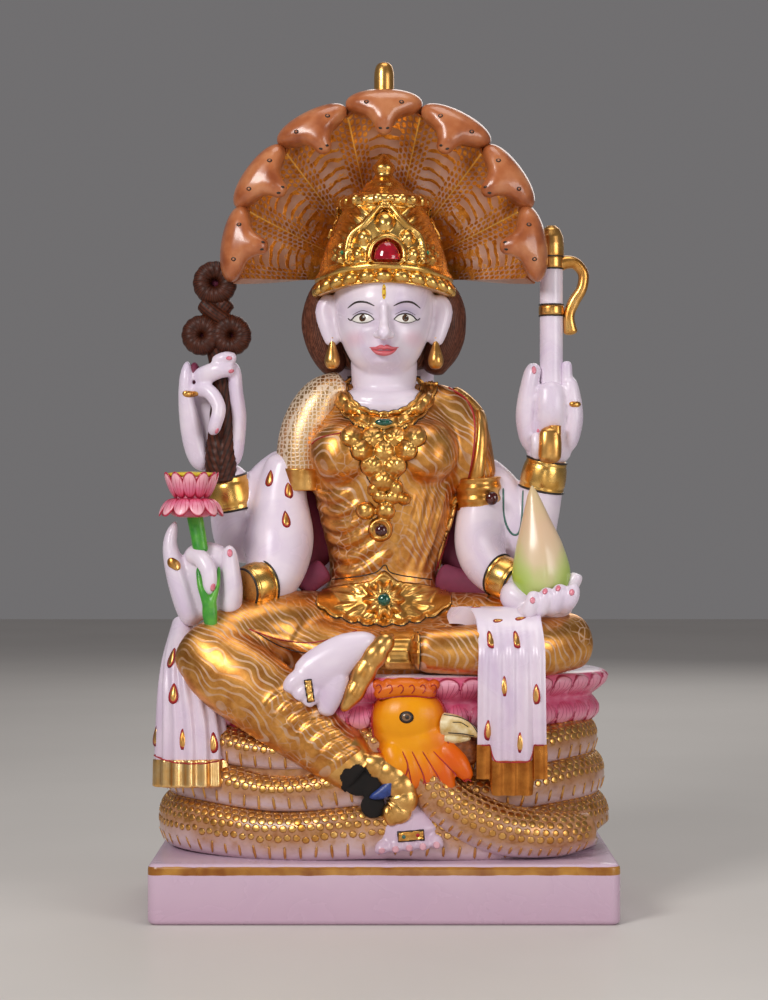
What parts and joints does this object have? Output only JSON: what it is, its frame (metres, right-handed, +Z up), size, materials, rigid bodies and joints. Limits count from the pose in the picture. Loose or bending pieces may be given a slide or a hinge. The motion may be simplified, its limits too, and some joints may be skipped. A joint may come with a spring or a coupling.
{
  "type": "carved seated figure on a plinth",
  "caption": "Seated four-armed goddess under a serpent hood, on coils and a lotus, carved with its plinth and set with small glass stones.",
  "frame": {"origin": "middle of the plinth's flat underside", "axes": "+Z up, the figure faces -Y, +X to the right as seen from the front"},
  "size_m": [0.328, 0.21, 0.61],
  "materials": {
    "marble": "polished white marble, painted and gilded",
    "red_glass": "polished red glass on foil",
    "green_glass": "polished green glass on foil",
    "garnet_glass": "polished dark red glass on foil"
  },
  "bodies": {
    "root": {"figure": "marble", "crown_stone": "red_glass", "belt_stone": "green_glass", "pendant_stone": "garnet_glass", "necklace_stone": "green_glass", "armlet_stone": "garnet_glass"}
  },
  "joints": []
}
